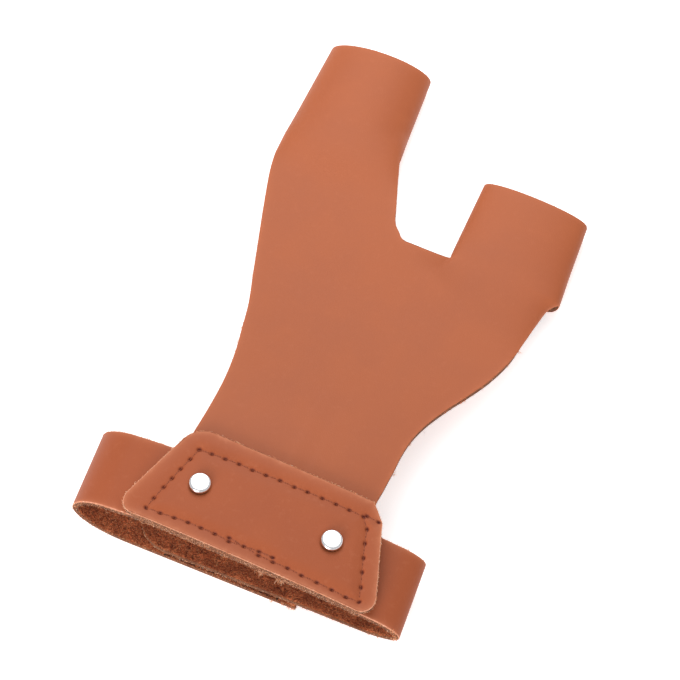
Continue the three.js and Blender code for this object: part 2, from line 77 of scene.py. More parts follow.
THUMB_TIP_SLANT = -1.6
FOOT_ZONE = 14
SEAM_GAP = 0.12
SEAM_LIFT = 0.5
SEAM_LIFT_REACH = 2.5
FOLD_LEAN = 0.2
# Each tube: its height, the height of its folds, how full its dome is, how much higher the left and
# right folds start at its foot, how soon they come down, and how far below the foot each side bends
INDEX_TUBE = {
    "height": 12.45, "fold": 5.5, "fullness": 1.08, "lifts": (2, 3), "fade": 12, "bends": (16, 14)}
THUMB_TUBE = {
    "height": 10.05, "fold": 5.2, "fullness": 0.84, "lifts": (3, 1.5), "fade": 14, "bends": (9, 28)}
FLOOR_MID = LEATHER / 2
ABOVE_FLOOR = 0.02
EASED_CORNER = 0.25
WEAR_REACH = 3
FIBRE_SEAT = 0.04

# Outer face of the loop over the wrist: share of half the loop's length, share of its height
CROWN = [
    (-0.8, 0.905), (-0.64, 0.985), (-0.5, 1.0), (-0.25, 0.975), (0, 0.93),
    (0.25, 0.88), (0.5, 0.82), (0.7, 0.755), (0.9, 0.665),
]

# Free edges of the panel: share of the length to that side's tube, share of that side's reach
LEFT_EDGE = [
    (-0.088, 0.61), (0, 0.575), (0.082, 0.538), (0.16, 0.524), (0.227, 0.52), (0.299, 0.528),
    (0.376, 0.557), (0.453, 0.605), (0.52, 0.648), (0.613, 0.73), (0.701, 0.804), (0.794, 0.881),
    (0.876, 0.945), (0.938, 0.984), (0.989, 0.999), (1, 1),
]
RIGHT_EDGE = [
    (-0.105, 0.745), (0, 0.7), (0.097, 0.643), (0.178, 0.584), (0.231, 0.585), (0.292, 0.588),
    (0.352, 0.588), (0.407, 0.598), (0.468, 0.631), (0.543, 0.697), (0.604, 0.763), (0.679, 0.838),
    (0.764, 0.895), (0.845, 0.919), (0.885, 0.928), (0.945, 0.945), (0.97, 0.957), (0.99, 0.98), (1, 1),
]

# Cut edge between the web and the index tube: share of the strip, share of the way to the tube
GAP_EDGE = [
    (0, 0), (0.02, 0.11), (0.075, 0.215), (0.13, 0.335), (0.2, 0.42), (0.27, 0.475),
    (0.41, 0.578), (0.64, 0.745), (0.84, 0.886), (1, 1),
]

pad_low, pad_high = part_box("fastener_pad")
ORIGIN = Vector(((pad_low.x + pad_high.x) / 2 - LAP_MIDDLE * MM, (pad_low.y + pad_high.y) / 2, 0))


def read_table(table, at):
    """Smooth curve through the rows of a table, as the frame's solids have it."""
    key, value = np.array(table, float).T
    near_key, near_value = np.pad(key, 1, mode="edge"), np.pad(value, 1, mode="edge")
    slope = (near_value[2:] - near_value[:-2]) / (near_key[2:] - near_key[:-2])
    row = np.clip(np.searchsorted(key, at, side="right") - 1, 0, len(key) - 2)
    span = key[row + 1] - key[row]
    t = np.clip((at - key[row]) / span, 0, 1)
    rise = t * t * (3 - 2 * t)
    pull = t * (1 - t) ** 2 * slope[row] + t * t * (t - 1) * slope[row + 1]
    return value[row] + (value[row + 1] - value[row]) * rise + span * pull


def lerp(a, b, share):
    return a + (b - a) * share


def smooth(value):
    t = np.clip(value, 0, 1)
    return t * t * (3 - 2 * t)


def crown_mid(x):
    """Middle of the strap's thickness over the wrist, evened out over a few millimetres."""
    share = np.asarray(x) / LOOP_HALF
    near = [read_table(CROWN, share + step) for step in (-0.1, -0.05, 0, 0.05, 0.1)]
    return LOOP_HEIGHT * np.mean(near, axis=0) - LEATHER / 2


def left_edge(y):
    return -PANEL_LEFT * read_table(LEFT_EDGE, y / INDEX_FOOT)


def right_edge(y):
    return PANEL_RIGHT * read_table(RIGHT_EDGE, y / WEB_FOOT)


def panel_mid(x, y):
    """Middle of the panel's thickness where no tube bends it."""
    neck = crown_mid(x) + LEATHER + PLAY
    return lerp(neck, WEB_HEIGHT, smooth((y - STRAP_HALF) / (NECK_RISE_END - STRAP_HALF)))


def even_line(x, z, count):
    """count + 1 points spaced evenly along a line, and their shares of its length."""
    reach = np.concatenate([[0], np.cumsum(np.hypot(np.diff(x), np.diff(z)))])
    shares = np.linspace(0, 1, count + 1)
    return np.interp(shares, reach / reach[-1], x), np.interp(shares, reach / reach[-1], z), shares


ARCH_COLUMNS = 46
ARCH_TURNS = 91
WEB_COLUMNS = 13
WING_COLUMNS = 22
WING_TURNS = 24


def arch_line(tube, left, right, lifts):
    """Dome of a tube's section, from its left fold over the top to its right fold."""
    half = (right - left - LEATHER) / 2
    turn = np.linspace(0, math.pi, ARCH_TURNS)
    fold = tube["fold"] + np.where(turn < math.pi / 2, lifts[0], lifts[1])
    crown = tube["height"] - LEATHER / 2
    z = lerp(fold, crown, np.sin(turn).clip(0) ** tube["fullness"])
    return even_line((left + right) / 2 - half * np.cos(turn), z, ARCH_COLUMNS)


def wing_line(tube, left, right, lift, hand):
    """Lower wing of a tube's section, from the seam along the table and up to its fold."""
    half = (right - left - LEATHER) / 2
    radius = tube["fold"] - FLOOR_MID
    turn = np.linspace(0, math.pi / 2, WING_TURNS)
    x = np.concatenate([[SEAM_GAP / 2], half - radius + radius * np.sin(turn)])
    z = np.concatenate([[FLOOR_MID], FLOOR_MID + (radius + lift) * (1 - np.cos(turn))])
    x, z = even_line(x, z, WING_COLUMNS)[:2]
    z += SEAM_LIFT * np.exp(-(x / SEAM_LIFT_REACH) ** 2)
    return (left + right) / 2 + hand * x, z


def bent_row(tube, left, right, from_foot, y_at):
    """A row across the panel, from_foot before a tube: flat leather that bends into the tube's dome."""
    arch_x, arch_z, share = arch_line(tube, left, right, tube["lifts"])
    bends = lerp(*tube["bends"], share)
    bend = smooth(1 - from_foot / bends)
    y = y_at(share)
    flat_x = lerp(left, right, share)
    return np.stack([lerp(flat_x, arch_x, bend), y, lerp(panel_mid(flat_x, y), arch_z, bend)], axis=1)


def palm_row(y):
    """One row of the palm: the index side, the web and the thumb side."""
    left, right = left_edge(y), right_edge(y)
    shrink = (right - left) / (right_edge(WEB_FOOT) - left_edge(WEB_FOOT))
    thumb_left = right - THUMB_FOOT_WIDTH * shrink
    web_left = thumb_left - WEB_WIDTH * shrink
    lift = -THUMB_FOOT_SLANT * smooth((y - WEB_FOOT + FOOT_ZONE) / FOOT_ZONE)
    index = bent_row(INDEX_TUBE, left, web_left, INDEX_FOOT - y, lambda share: y + 0 * share)
    thumb = bent_row(THUMB_TUBE, thumb_left, right, WEB_FOOT - y, lambda share: y + lift * (1 - share))
    share = np.linspace(0, 1, WEB_COLUMNS + 1)[1:-1]
    x = lerp(index[-1][0], thumb[0][0], share)
    flat = panel_mid(x, y)
    dip = (index[-1][2] - flat) * (1 - share) ** 2 + (thumb[0][2] - flat) * share ** 2
    web = np.stack([x, y + lift * share ** 3, flat + dip], axis=1)
    return np.concatenate([index, web, thumb])


def strip_row(along):
    """One row between the web and the foot of the index tube."""
    y = lerp(WEB_FOOT, INDEX_FOOT, along)
    start = PANEL_RIGHT - THUMB_FOOT_WIDTH - WEB_WIDTH
    right = lerp(start, -PANEL_LEFT + INDEX_FOOT_WIDTH, read_table(GAP_EDGE, along))
    return bent_row(INDEX_TUBE, left_edge(y), right, INDEX_FOOT - y,
                    lambda share: y + INDEX_FOOT_SLANT * along * share)


def tube_row(tube, foot, tip, length, along):
    """One ring of a tube, open at the seam: left wing, dome and right wing."""
    fall = 1 - smooth(along * length / tube["fade"])
    lifts = [lift * fall for lift in tube["lifts"]]
    left = lerp(foot[0] - FOLD_LEAN * tube["lifts"][0], tip[0], along) + FOLD_LEAN * lifts[0]
    right = lerp(foot[1] - FOLD_LEAN * tube["lifts"][1], tip[1], along) + FOLD_LEAN * lifts[1]
    y, slant = lerp(foot[2], tip[2], along), lerp(foot[3], tip[3], along)
    x, z, share = arch_line(tube, left, right, lifts)
    arch = np.stack([x, y + slant * share, z], axis=1)

    def wing(hand, lift):
        x, z = wing_line(tube, left, right, lift, hand)
        share = (x - left - LEATHER / 2) / (right - left - LEATHER)
        return np.stack([x, y + slant * share, z], axis=1)

    return np.concatenate([wing(-1, lifts[0])[:-1], arch, wing(1, lifts[1])[::-1][1:]])


def lay_sheet(bm, rows):
    """A grid of faces whose vertices are moved to the points of rows."""
    across, along = len(rows[0]) - 1, len(rows) - 1
    bm.loops.layers.uv.verify()
    made = bmesh.ops.create_grid(bm, x_segments=across, y_segments=along, size=0.5, calc_uvs=True)
    for vert in made["verts"]:
        column = round((vert.co.x + 0.5) * across)
        row = round((vert.co.y + 0.5) * along)
        vert.co = rows[row][column]


def mark_edges(bm, reach):
    """Keeps in each vertex how near it is to a cut edge: 1 on the edge, 0 from reach inwards."""
    layer = bm.verts.layers.float.new("edge_wear")
    rim = [vert for vert in bm.verts if vert.is_boundary]
    tree = KDTree(len(rim))
    for number, vert in enumerate(rim):
        tree.insert(vert.co, number)
    tree.balance()
    for vert in bm.verts:
        vert[layer] = max(0, 1 - tree.find(vert.co)[2] / reach)


def add_object(name, data):
    made = bpy.data.objects.new(name, data)
    bpy.context.scene.collection.objects.link(made)
    return made


def new_piece(name, bm, materials):
    """The mesh in metres in the part's frame, as a named piece that rides on the glove."""
    bmesh.ops.scale(bm, vec=(MM, MM, MM), verts=bm.verts)
    bmesh.ops.translate(bm, vec=ORIGIN, verts=bm.verts)
    mesh = bpy.data.meshes.new(name)
    bm.to_mesh(mesh)
    bm.free()
    mesh.shade_smooth()
    for material in materials:
        mesh.materials.append(material)
    piece = add_object(name, mesh)
    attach(piece, "root")
    return piece


def bevel(bm, edges, offset, segments):
    """Rounds the edges off and gives back the faces that this makes."""
    return bmesh.ops.bevel(bm, geom=edges, offset=offset, offset_type="OFFSET", affect="EDGES",
                           segments=segments, profile=0.5, material=-1)["faces"]


def thicken(bm, sink=None, is_pale=lambda middle: True):
    """Gives a middle surface its leather: grain (material 0) outside, suede (1) inside, a cut rim (2).
    sink(vert) presses the grain side down. The rim's eased corner is pale (3) where is_pale says so."""
    bm.normal_update()
    for vert in bm.verts:
        vert.co += vert.normal * LEATHER / 2
    bm.normal_update()
    grain_faces = set(bm.faces)
    bmesh.ops.solidify(bm, geom=bm.faces[:], thickness=LEATHER)
    grain_verts = {vert for face in grain_faces for vert in face.verts}
    for face in bm.faces:
        if face not in grain_faces:
            face.material_index = 2 if any(vert in grain_verts for vert in face.verts) else 1
    if sink:
        for vert in grain_verts:
            vert.co.z -= sink(vert)
    corner = [edge for edge in bm.edges if {face.material_index for face in edge.link_faces} == {0, 2}]
    for face in bevel(bm, corner, EASED_CORNER, segments=2):
        face.material_index = 3 if is_pale(face.calc_center_median()) else 0


def free_edges(bm):
    """Each stretch of a sheet's cut edge: its ends, the way out of the leather, and up from its grain."""
    bm.normal_update()
    stretches = []
    for edge in bm.edges:
        if edge.is_boundary:
            start, end = edge.verts[0].co, edge.verts[1].co
            face = edge.link_faces[0]
            out = (end - start).cross(face.normal).normalized()
            if out.dot((start + end) / 2 - face.calc_center_median()) < 0:
                out.negate()
            stretches.append((start[:], end[:], out[:], face.normal[:]))
    return [np.array(column) for column in zip(*stretches)]


def fuzz(edges, per_mm, length, dice):
    """Fibres that stand out of the cut edges: their roots, their tips and how far they bow."""
    starts, ends, outs, ups = edges
    reach = np.linalg.norm(ends - starts, axis=1)
    pick = np.repeat(np.arange(len(starts)), dice.poisson(reach * per_mm))
    many = (len(pick), 1)
    along = (ends - starts)[pick] / reach[pick, None]
    depth = (dice.beta(0.5, 0.5, many) - 0.5) * LEATHER
    roots = lerp(starts[pick], ends[pick], dice.random(many)) + ups[pick] * depth - outs[pick] * 0.1
    way = outs[pick] * dice.uniform(0.2, 1, many) + along * dice.normal(0, 0.8, many)
    way += ups[pick] * dice.normal(0, 0.35, many)
    tips = roots + way * length * dice.uniform(0.3, 1, many)
    return roots, tips, dice.normal(0, 0.22, (len(pick), 3)) * length


def nap_fibres(bm, per_square, length, keep, dice):
    """Fibres that lie tangled on the suede side of a sheet, where keep(x, y, z) says so."""
    faces = [face for face in bm.faces if keep(*face.calc_center_median())]
    corners = np.array([[vert.co[:] for vert in face.verts] for face in faces])
    ups = np.array([face.normal[:] for face in faces])
    areas = np.array([face.calc_area() for face in faces])
    pick = np.repeat(np.arange(len(faces)), dice.poisson(areas * per_square))
    many = (len(pick), 1)
    a, b, c, d = corners[pick].transpose(1, 0, 2)
    up = ups[pick]
    across, along = dice.random(many), dice.random(many)
    roots = lerp(lerp(a, b, across), lerp(d, c, across), along) - up * (LEATHER / 2 - FIBRE_SEAT)
    way = dice.normal(size=(len(pick), 3))
    way -= up * (way * up).sum(axis=1, keepdims=True)
    way /= np.linalg.norm(way, axis=1, keepdims=True)
    tips = roots + (way * dice.uniform(0.4, 1, many) - up * dice.uniform(0, 0.3, many)) * length
    bend = np.cross(way, up) * dice.normal(0, 0.3, many) - up * dice.uniform(0.02, 0.16, many)
    return roots, tips, bend * length


# A direction that no strand follows, to turn each strand's section from
ANY_WAY = np.array([0.31, 0.22, 0.92])


def join_strands(*groups):
    return [np.concatenate(parts) for parts in zip(*groups)]


def lay_strands(name, material, strands, radius, tones, taper=0.35, sides=3, cuts=2):
    """One piece of many fine strands, each from its root to its tip, but none that dips under the floor.
    tones sets each strand's colour."""
    strand = bmesh.new()
    bmesh.ops.create_cone(strand, cap_ends=True, segments=sides, radius1=1, radius2=taper, depth=1)
    lengthwise = [edge for edge in strand.edges if abs(edge.verts[0].co.z - edge.verts[1].co.z) > 0.5]
    bmesh.ops.subdivide_edges(strand, edges=lengthwise, cuts=cuts)
    pattern = bpy.data.meshes.new("one strand")
    strand.to_mesh(pattern)
    shape = np.array([vert.co[:] for vert in strand.verts])
    strand.free()
    roots, tips, bows = strands
    way = tips - roots
    side = np.cross(way, ANY_WAY)
    side /= np.linalg.norm(side, axis=1, keepdims=True)
    other = np.cross(way, side)
    other /= np.linalg.norm(other, axis=1, keepdims=True)
    share = shape[:, 2:3] + 0.5
    middle = roots[:, None] + way[:, None] * share + bows[:, None] * 4 * share * (1 - share)
    places = middle + radius * (side[:, None] * shape[:, 0:1] + other[:, None] * shape[:, 1:2])
    clear = places[..., 2].min(axis=1) > ABOVE_FLOOR
    places, tones = places[clear], tones[clear]
    bm = bmesh.new()
    for _ in places:
        bm.from_mesh(pattern)
    bpy.data.meshes.remove(pattern)
    for vert, place in zip(bm.verts, places.reshape(-1, 3)):
        vert.co = place
    piece = new_piece(name, bm, [material])
    shade = piece.data.attributes.new("strand_tone", "FLOAT", "POINT")
    shade.data.foreach_set("value", np.repeat(tones, len(shape)).astype(np.float32))
    return piece


def tone(red, green, blue):
    """A colour given as the eye reads it, 0 to 255, for a shader socket."""
    shares = (red / 255, green / 255, blue / 255)
    return tuple(((c + 0.055) / 1.055) ** 2.4 if c > 0.04 else c / 12.92 for c in shares) + (1,)


def feed(tree, socket, value):
    """Links another node's output to the socket, or sets the socket to a value."""
    if isinstance(value, bpy.types.NodeSocket):
        tree.links.new(value, socket)
    else:
        socket.default_value = value


def add(tree, kind, feeds=None, **settings):
    """One shader node. Each feed is a socket to link or a value to set."""
    made = tree.nodes.new("ShaderNode" + kind)
    for name, value in settings.items():
        setattr(made, name, value)
    for name, value in (feeds or {}).items():
        feed(tree, made.inputs[name], value)
    return made


def object_place(tree):
    return add(tree, "TexCoord").outputs["Object"]


def noise(tree, place, scale, **inputs):
    return add(tree, "TexNoise", {"Vector": place, "Scale": scale, **inputs}).outputs["Fac"]


def wave(tree, place, scale, direction, **inputs):
    made = add(tree, "TexWave", {"Vector": place, "Scale": scale, **inputs}, bands_direction=direction)
    return made.outputs["Fac"]


def remap(tree, value, low=0.0, high=1.0, to_low=0.0, to_high=1.0):
    """Moves values between low and high to between to_low and to_high."""
    limits = {"From Min": low, "From Max": high, "To Min": to_low, "To Max": to_high}
    return add(tree, "MapRange", {"Value": value, **limits}).outputs["Result"]


def combine(tree, operation, *values):
    return add(tree, "Math", dict(enumerate(values)), operation=operation).outputs[0]


def painted(tree, attribute):
    """What the mesh keeps in its attribute of that name."""
    return add(tree, "Attribute", attribute_name=attribute).outputs["Fac"]


def ramp(tree, factor, stops):
    made = add(tree, "ValToRGB", {"Fac": factor})
    elements = made.color_ramp.elements
    while len(elements) < len(stops):
        elements.new(0.5)
    for element, (place, colour) in zip(elements, stops):
        element.position = place
        element.color = colour
    return made.outputs["Color"]


def mix(tree, factor, first, second):
    """A colour between the first and the second."""
    made = add(tree, "Mix", data_type="RGBA")
    for place, value in ((0, factor), (6, first), (7, second)):
        feed(tree, made.inputs[place], value)
    return made.outputs[2]


def effect_group(name, inputs, outputs):
    """An effect that several materials share, with named inputs and outputs."""
    tree = bpy.data.node_groups.new(name, "ShaderNodeTree")
    for way, sockets in (("OUTPUT", outputs), ("INPUT", inputs)):
        for label, kind in sockets.items():
            tree.interface.new_socket(name=label, in_out=way, socket_type=kind)
    return tree, tree.nodes.new("NodeGroupInput").outputs, tree.nodes.new("NodeGroupOutput").inputs


COLOUR = "NodeSocketColor"
VALUE = "NodeSocketFloat"

# Satin grain: pebbles of under a millimetre, soft clouds of colour, and paler, drier leather
# along the cut edges.
grain, given, result = effect_group(
    "satin grain",
    {"Colour": COLOUR, "Deep colour": COLOUR, "Worn colour": COLOUR, "Roughness": VALUE},
    {"Colour": COLOUR, "Roughness": VALUE, "Height": VALUE},
)
place = object_place(grain)
cells = {"Vector": place, "Scale": 1500.0, "Randomness": 1.0}
pebbles = add(grain, "TexVoronoi", cells, feature="DISTANCE_TO_EDGE").outputs["Distance"]
creases = remap(grain, pebbles, high=0.25)
fine = noise(grain, place, 2600.0, Detail=3.0)
clouds = noise(grain, place, 60.0, Detail=3.0, Roughness=0.55)
spots = noise(grain, place, 520.0, Detail=4.0, Roughness=0.6)
worn = painted(grain, "edge_wear")
base = mix(grain, remap(grain, clouds, 0.38, 0.62), given["Deep colour"], given["Colour"])
base = mix(grain, remap(grain, creases, to_low=0.16, to_high=0.0), base, given["Deep colour"])
base = mix(grain, remap(grain, spots, 0.56, 0.72, to_high=0.07), base, given["Worn colour"])
near = combine(grain, "POWER", worn, 5.0)
wear = combine(grain, "MULTIPLY_ADD", worn, 0.08, combine(grain, "MULTIPLY", near, spots))
grain.links.new(mix(grain, wear, base, given["Worn colour"]), result["Colour"])
dry = combine(grain, "MULTIPLY_ADD", near, 0.15, remap(grain, clouds, to_low=-0.06, to_high=0.06))
grain.links.new(combine(grain, "ADD", given["Roughness"], dry), result["Roughness"])
grain.links.new(combine(grain, "MULTIPLY_ADD", fine, 0.35, creases), result["Height"])

# Suede nap: short tangled fibres of three tones that lie in swirls
nap, given, result = effect_group(
    "suede nap", {"Dark": COLOUR, "Middle": COLOUR, "Bright": COLOUR}, {"Colour": COLOUR, "Height": VALUE})
place = object_place(nap)
fibres = noise(nap, place, 900.0, Detail=5.0, Roughness=0.7, Distortion=2.2)
strands = noise(nap, place, 1900.0, Detail=3.0, Roughness=0.6, Distortion=3.5)
patches = noise(nap, place, 160.0, Detail=3.0)
base = mix(nap, remap(nap, fibres, 0.4, 0.6), given["Dark"], given["Middle"])
base = mix(nap, remap(nap, strands, 0.56, 0.72), base, given["Bright"])
base = mix(nap, remap(nap, patches, 0.4, 0.65, to_high=0.4), base, given["Dark"])
nap.links.new(base, result["Colour"])
nap.links.new(combine(nap, "MULTIPLY_ADD", strands, 0.5, fibres), result["Height"])


def new_tree(name):
    material = bpy.data.materials.new(name)
    material.use_nodes = True
    material.node_tree.nodes.clear()
    return material, material.node_tree


def finish_surface(tree, colour, roughness, height, strength, depth, **sockets):
    """The material's own shader. Colour, roughness and height may come from other nodes."""
    bump = add(tree, "Bump", {"Height": height, "Strength": strength, "Distance": depth})
    feeds = {"Base Color": colour, "Roughness": roughness, "Normal": bump.outputs["Normal"]}
    feeds.update({name.replace("_", " "): value for name, value in sockets.items()})
    shader = add(tree, "BsdfPrincipled", feeds)
    add(tree, "OutputMaterial", {"Surface": shader.outputs["BSDF"]})


def grain_leather(name, colour, deep, worn, pressed=None):
    """Satin leather in its own tones. Where the attribute named by pressed is strong, in the needle holes,
    the colour is darkened as painted shade.
    """
    material, tree = new_tree(name)
    feeds = {"Colour": colour, "Deep colour": deep, "Worn colour": worn, "Roughness": GRAIN_ROUGHNESS}
    effect = add(tree, "Group", feeds, node_tree=grain).outputs
    shown = effect["Colour"]
    # Painted shade in the needle holes: the colour darkens where the attribute is strong
    if pressed:
        shown = mix(tree, remap(tree, painted(tree, pressed), 0.1, 0.7), shown, HOLE_SHADE)
    finish_surface(tree, shown, effect["Roughness"], effect["Height"], 0.12, 0.0001,
                   Specular_IOR_Level=GRAIN_SHINE)
    return material


def nap_leather(name, dark, middle, bright, strength, depth):
    """Raw leather in three tones of fibre, with bumps of the given strength and depth."""
    material, tree = new_tree(name)
    effect = add(tree, "Group", {"Dark": dark, "Middle": middle, "Bright": bright}, node_tree=nap).outputs
    finish_surface(tree, effect["Colour"], 0.95, effect["Height"], strength, depth,
                   Specular_IOR_Level=0.15)
    return material


GRAIN_ROUGHNESS = 0.54
GRAIN_SHINE = 0.24
# Painted shade: the colour that the patch's grain darkens to in its needle holes
HOLE_SHADE = tone(84, 20, 6)
panel_grain = grain_leather("panel_grain", tone(165, 88, 52), tone(161, 85, 50), tone(190, 112, 78))
suede = nap_leather("suede", tone(104, 42, 24), tone(228, 124, 78), tone(254, 204, 150),
                    strength=1.0, depth=0.0008)
cut_edge = nap_leather("cut_edge", tone(82, 44, 29), tone(142, 90, 63), tone(222, 172, 132),
                       strength=0.9, depth=0.0005)
pale_arris = nap_leather("pale_arris", tone(184, 118, 90), tone(226, 162, 132), tone(244, 198, 172),
                         strength=0.5, depth=0.0002)

loose_fibre, tree = new_tree("loose_fibre")
strand_colour = ramp(tree, painted(tree, "strand_tone"), [
    (0.0, tone(92, 38, 20)), (0.4, tone(214, 114, 70)),
    (0.75, tone(242, 172, 124)), (1.0, tone(250, 214, 184)),
])
frizz = noise(tree, object_place(tree), 6000.0)
finish_surface(tree, strand_colour, 0.85, frizz, 0.2, 0.0001, Specular_IOR_Level=0.2)

PALM_ROWS = 104
FOOT_ROWS = 24
STRIP_ROWS = 34
INDEX_ROWS = 36
THUMB_ROWS = 30
# How rows draw together towards a foot or a rounded corner
BUNCHING = 1.5
palm_ys = list(np.linspace(-NECK_TUCK, WEB_FOOT - FOOT_ZONE, PALM_ROWS, endpoint=False))
palm_ys += [WEB_FOOT - FOOT_ZONE * (1 - k / FOOT_ROWS) ** BUNCHING for k in range(FOOT_ROWS + 1)]
thumb_left = PANEL_RIGHT - THUMB_FOOT_WIDTH
thumb_foot = WEB_FOOT - THUMB_FOOT_SLANT
INDEX_ENDS = (
    (-PANEL_LEFT, -PANEL_LEFT + INDEX_FOOT_WIDTH, INDEX_FOOT, INDEX_FOOT_SLANT),
    (-PANEL_LEFT, -PANEL_LEFT + INDEX_TIP_WIDTH, INDEX_FOOT + INDEX_LENGTH, INDEX_TIP_SLANT),
)
THUMB_ENDS = (
    (thumb_left, PANEL_RIGHT, thumb_foot, THUMB_FOOT_SLANT),
    (THUMB_TIP_LEFT, THUMB_TIP_LEFT + THUMB_TIP_WIDTH, thumb_foot + THUMB_LENGTH, THUMB_TIP_SLANT),
)

WELD_GAP = 0.01

body = bmesh.new()
lay_sheet(body, [palm_row(y) for y in palm_ys])
lay_sheet(body, [strip_row((k / STRIP_ROWS) ** BUNCHING) for k in range(STRIP_ROWS + 1)])
for tube, ends, length, count in (
    (INDEX_TUBE, INDEX_ENDS, INDEX_LENGTH, INDEX_ROWS),
    (THUMB_TUBE, THUMB_ENDS, THUMB_LENGTH, THUMB_ROWS),
):
    lay_sheet(body, [tube_row(tube, *ends, length, k / count) for k in range(count + 1)])
bmesh.ops.remove_doubles(body, verts=body.verts, dist=WELD_GAP)
mark_edges(body, WEAR_REACH)

# Where small tufts stand out of the panel's long cut edges: the side, how far from the wrist,
# and the tuft's length
TUFTS = [
    (1, 82.3, 0.6), (1, 76.5, 0.7), (1, 67, 0.6), (1, 61.3, 0.8), (1, 59.7, 0.8), (1, 55.5, 0.6),
    (1, 40.9, 0.6), (1, 30.4, 0.9), (-1, 74.4, 0.4), (-1, 55.8, 0.5), (-1, 51.5, 0.6), (-1, 47, 0.5),
]
TUFT_STRANDS = 16
# Where along the neck's end a few fibres hang
NECK_BITS = (8.8, 9.7, 14.6, 15.8)
NECK_RIM = 0.6 - NECK_TUCK
INSIDE_DEPTH = 14
WRIST_INSIDE = 60
THUMB_SIDE = 14
ABOVE_WINGS = 5
index_mouth = INDEX_FOOT + INDEX_LENGTH - INSIDE_DEPTH
thumb_mouth = thumb_foot + THUMB_LENGTH - INSIDE_DEPTH


def clump(spot, out, length, dice):
    """A few fibres that stand together at one spot of a cut edge."""
    spread = dice.normal(0, 0.3, (TUFT_STRANDS, 3))
    roots = np.array(spot) + spread - np.array(out) * 0.2
    way = np.array(out) + dice.normal(0, 0.4, (TUFT_STRANDS, 3))
    tips = roots + way * length * dice.uniform(0.5, 1, (TUFT_STRANDS, 1))
    return roots, tips, dice.normal(0, 0.15, (TUFT_STRANDS, 3)) * length


def tuft(edges, hand, y, length, dice):
    """A clump on the panel's long cut edge of one side."""
    starts, ends, outs, ups = edges
    middle = (starts + ends) / 2
    elsewhere = (middle[:, 0] * hand < 0) | (middle[:, 2] < ABOVE_WINGS)
    number = np.argmin(np.where(elsewhere, np.inf, np.abs(middle[:, 1] - y)))
    return clump(middle[number], outs[number], length, dice)


def in_mouths_or_neck(x, y, z):
    """Where the suede can be seen: in the tubes' mouths and, in strips, up from the wrist."""
    strip = x % 1 < 0.5
    return y < WRIST_INSIDE and strip or y > index_mouth or (x > THUMB_SIDE and y > thumb_mouth)


dice = np.random.default_rng(3)
panel_edges = free_edges(body)
panel_nap = nap_fibres(body, per_square=0.9, length=1.9, keep=in_mouths_or_neck, dice=dice)
panel_fuzz = fuzz(panel_edges, per_mm=1.6, length=0.5, dice=dice)
neck_end = [column[panel_edges[0][:, 1] < NECK_RIM] for column in panel_edges]
neck_fuzz = [fuzz(neck_end, per_mm=12, length=0.45, dice=dice)]
for x in NECK_BITS:
    spot = (x, -NECK_TUCK, panel_mid(x, -NECK_TUCK) - 0.5)
    neck_fuzz.append(clump(spot, out=(0.3, -0.7, -0.5), length=1, dice=dice))
panel_tufts = join_strands(*[tuft(panel_edges, *spot, dice) for spot in TUFTS])
thicken(body, is_pale=lambda middle: middle.y < NECK_RIM)
panel = new_piece("panel", body, [panel_grain, suede, cut_edge, pale_arris])
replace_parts(panel, "glove_body")
nap_tones = dice.beta(2, 3, len(panel_nap[0]))
lay_strands("panel_nap", loose_fibre, panel_nap, radius=0.06, tones=nap_tones)
# The panel's finer strands: their radius, and their darkest and palest tone
for name, strands, radius, darkest, palest in (
    ("panel_fuzz", panel_fuzz, 0.04, 0.3, 0.8),
    ("neck_fuzz", join_strands(*neck_fuzz), 0.06, 0.6, 1),
    ("panel_tufts", panel_tufts, 0.06, 0.35, 0.7),
):
    tones = dice.uniform(darkest, palest, len(strands[0]))
    lay_strands(name, loose_fibre, strands, radius, tones)

# The tubes' seams.
# The two wings of each tube meet edge to edge underneath. Dark thread crosses the joint in X
# stitches, on the suede inside and in the shallow hollow under the seam.
THREAD_RADIUS = 0.14
CROSS_REACH = 1.9
CROSS_STEP = 3.2
CROSS_MARGIN = 0.06
# Height of the stitches' ends over the middle surface and how far the thread bows: inside, underneath
CROSS_LAYERS = ((LEATHER / 2 - 0.35, 0.42), (-LEATHER / 2 - 0.3, 0.08))

thread_ply, tree = new_tree("thread_ply")
ply = wave(tree, object_place(tree), 900.0, "DIAGONAL", Distortion=1.5)
thread_colour = mix(tree, ply, tone(118, 54, 32), tone(160, 86, 56))
finish_surface(tree, thread_colour, 0.7, ply, 0.5, 0.0002, Specular_IOR_Level=0.3)


def cross_stitches(tube, ends, length):
    """X stitches along one tube's seam: first those inside, then those underneath."""
    shares = np.linspace(CROSS_MARGIN, 1 - CROSS_MARGIN, round(length / CROSS_STEP) * 2)
    points = np.array([tube_row(tube, *ends, length, share)[0] for share in shares])
    strands = []
    for height, bow in CROSS_LAYERS:
        for first, second in zip(points[:-1:2], points[1::2]):
            for hand in (-1, 1):
                start = first + (-hand * CROSS_REACH, 0, height)
                strands.append((start, second + (hand * CROSS_REACH, 0, height), (0, 0, bow)))
    return [np.array(column) for column in zip(*strands)]


crosses = join_strands(
    cross_stitches(INDEX_TUBE, INDEX_ENDS, INDEX_LENGTH),
    cross_stitches(THUMB_TUBE, THUMB_ENDS, THUMB_LENGTH),
)
lay_strands("tube_stitches", thread_ply, crosses, THREAD_RADIUS, np.zeros(len(crosses[0])),
            taper=1, sides=8, cuts=7)

